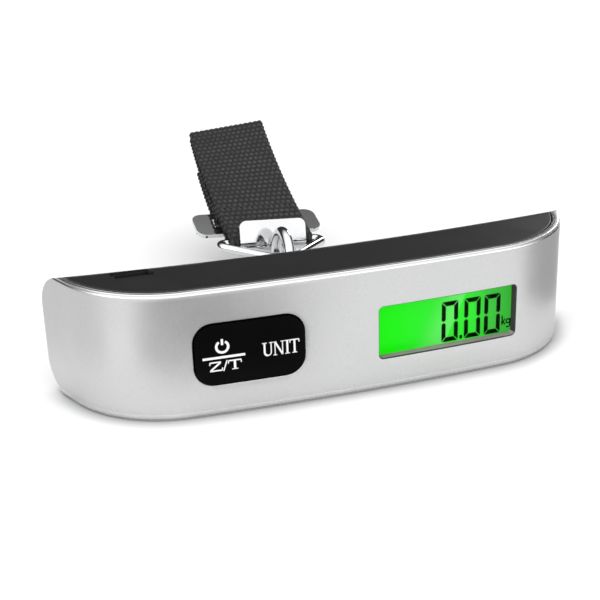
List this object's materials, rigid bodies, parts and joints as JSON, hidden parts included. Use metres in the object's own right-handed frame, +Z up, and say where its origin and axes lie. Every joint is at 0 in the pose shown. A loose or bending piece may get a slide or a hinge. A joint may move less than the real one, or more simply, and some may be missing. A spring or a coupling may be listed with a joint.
{
  "type": "digital luggage scale",
  "caption": "Hand-held hanging scale: curved bar housing with lit display and rocker key, and a webbing strap with a hook buckle on a steel load hook.",
  "frame": {"origin": "on the resting plane, in the middle of the bar's length and of its depth at the middle", "axes": "+X along the bar towards the display, +Y from the display face to the strap, +Z up"},
  "size_m": [0.1394, 0.1362, 0.0366],
  "materials": {
    "silver_paint": "satin metallic",
    "black_grip": "satin",
    "clear_pane": "clear",
    "lcd_glass": "semi-gloss",
    "green_light": "lit",
    "grey_plastic": "matte",
    "pink_elastomer": "matte",
    "green_board": "solder mask",
    "black_resin": "gloss",
    "black_key": "polished",
    "switch_black": "matte",
    "aluminium_bar": "machined",
    "gauge_film": "satin",
    "zinc_steel": "zinc plated",
    "bushing_black": "satin",
    "chrome_plate": "polished",
    "cell_can": "bright",
    "spring_brass": "bright",
    "black_webbing": "ribbed weave",
    "black_thread": "matte"
  },
  "bodies": {
    "housing": {"front_shell": "silver_paint", "rear_shell": "black_grip", "display_window": "clear_pane", "display_panel": "lcd_glass", "display_backlight": "green_light", "display_frame": "grey_plastic", "zebra_strip": "pink_elastomer", "circuit_board": "green_board", "control_chip": "black_resin", "switch_left": "switch_black", "switch_right": "switch_black", "load_cell": "aluminium_bar", "strain_gauges": "gauge_film", "gauge_ribbon": "gauge_film", "load_cell_screws": "zinc_steel", "case_screws": "zinc_steel", "board_screws": "zinc_steel", "hook_bushing": "bushing_black", "battery": "cell_can", "contact_positive": "spring_brass", "contact_negative": "spring_brass"},
    "cover": {"battery_cover": "black_grip"},
    "key": {"key_rocker": "black_key"},
    "left_plunger": {"plunger_left": "switch_black"},
    "right_plunger": {"plunger_right": "switch_black"},
    "hook": {"load_hook": "chrome_plate", "hook_washer": "zinc_steel", "hook_nut": "zinc_steel"},
    "ring": {"ring": "chrome_plate"},
    "strap": {"strap_webbing": "black_webbing", "strap_stitching": "black_thread", "hook_buckle": "chrome_plate"}
  },
  "joints": [
    {"name": "cover_slide", "type": "slide", "parent": "housing", "child": "cover", "axis": [0, 1, 0], "range_m": [0, 0.012]},
    {"name": "key_tilt", "type": "hinge", "parent": "housing", "child": "key", "pos_m": [-0.02552, -0.0079, 0.0159], "axis": [0, 0, 1], "range_deg": [-2.2, 2.2], "stiffness_Nm_per_rad": 0.4},
    {"name": "plunger_left_press", "type": "slide", "parent": "housing", "child": "left_plunger", "axis": [0, 1, 0], "range_m": [0, 0.00025], "stiffness_N_per_m": 600},
    {"name": "plunger_right_press", "type": "slide", "parent": "housing", "child": "right_plunger", "axis": [0, 1, 0], "range_m": [0, 0.00025], "stiffness_N_per_m": 600},
    {"name": "hook_swivel", "type": "hinge", "parent": "housing", "child": "hook", "pos_m": [0, 0.0449, 0.0168], "axis": [0, 1, 0], "continuous": true},
    {"name": "ring_swing", "type": "hinge", "parent": "hook", "child": "ring", "pos_m": [0, 0.0449, 0.0168], "axis": [0.9976, 0, -0.0698], "range_deg": [-75, 75]},
    {"name": "strap_swing", "type": "hinge", "parent": "ring", "child": "strap", "pos_m": [0, 0.0579, 0.0168], "axis": [0.9976, 0, -0.0698], "range_deg": [-45, 20]}
  ]
}
